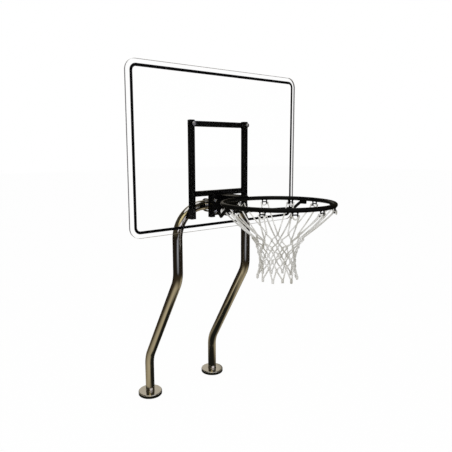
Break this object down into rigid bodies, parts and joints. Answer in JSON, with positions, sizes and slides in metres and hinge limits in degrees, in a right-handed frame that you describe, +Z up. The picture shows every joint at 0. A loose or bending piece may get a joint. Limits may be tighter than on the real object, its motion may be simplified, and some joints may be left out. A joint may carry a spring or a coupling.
{
  "type": "poolside basketball hoop",
  "caption": "Bent stainless tube stand with a clear backboard on a black square-tube frame, a black ring on braces and a white cord net, for the edge of a swimming pool.",
  "frame": {"origin": "on the pool deck, midway between the two legs", "axes": "+Z up; X along the board, towards the right as seen from the water; -Y out over the water, from the legs towards the ring"},
  "size_m": [1.016, 1.0731, 1.73],
  "materials": {
    "polished_stainless": "polished stainless steel tube, bright with soft long reflections",
    "black_powder_coat": "glossy black powder coat on steel",
    "black_plastic": "moulded black plastic and vinyl, slightly matt",
    "zinc_steel": "bright zinc-plated steel",
    "clear_sheet": "clear acrylic sheet with polished edges",
    "black_film": "thin black adhesive film",
    "net_cord": "white braided cord"
  },
  "bodies": {
    "stand": {"support_tube": "polished_stainless", "left_upright": "black_powder_coat", "right_upright": "black_powder_coat", "top_crossbar": "black_powder_coat", "lower_crossbar": "black_powder_coat", "left_post": "black_powder_coat", "right_post": "black_powder_coat", "left_top_plug": "black_plastic", "right_top_plug": "black_plastic", "left_end_sleeve": "black_plastic", "right_end_sleeve": "black_plastic", "left_post_plug": "black_plastic", "right_post_plug": "black_plastic", "left_saddle": "zinc_steel", "right_saddle": "zinc_steel", "backboard": "clear_sheet", "border_stripe": "black_film", "mounting_plate": "black_powder_coat", "neck": "black_powder_coat", "ring": "black_powder_coat", "left_brace": "black_powder_coat", "right_brace": "black_powder_coat", "net_hook_01": "black_powder_coat", "net_hook_02": "black_powder_coat", "net_hook_03": "black_powder_coat", "net_hook_04": "black_powder_coat", "net_hook_05": "black_powder_coat", "net_hook_06": "black_powder_coat", "net_hook_07": "black_powder_coat", "net_hook_08": "black_powder_coat", "net_hook_09": "black_powder_coat", "net_hook_10": "black_powder_coat", "net_hook_11": "black_powder_coat", "net_hook_12": "black_powder_coat", "left_u_bolt": "zinc_steel", "right_u_bolt": "zinc_steel", "left_lower_washer": "zinc_steel", "left_upper_washer": "zinc_steel", "right_lower_washer": "zinc_steel", "right_upper_washer": "zinc_steel", "left_lower_nut": "zinc_steel", "left_upper_nut": "zinc_steel", "right_lower_nut": "zinc_steel", "right_upper_nut": "zinc_steel", "left_board_bolt": "zinc_steel", "right_board_bolt": "zinc_steel", "left_board_front_washer": "zinc_steel", "right_board_front_washer": "zinc_steel", "left_board_rear_washer": "zinc_steel", "right_board_rear_washer": "zinc_steel", "left_board_nut": "zinc_steel", "right_board_nut": "zinc_steel", "net": "net_cord"},
    "left_cover": {"left_escutcheon": "polished_stainless"},
    "right_cover": {"right_escutcheon": "polished_stainless"}
  },
  "joints": [
    {"name": "left_cover_slide", "type": "slide", "parent": "stand", "child": "left_cover", "axis": [0, 0, 1], "range_m": [0, 0.15]},
    {"name": "right_cover_slide", "type": "slide", "parent": "stand", "child": "right_cover", "axis": [0, 0, 1], "range_m": [0, 0.15]}
  ]
}
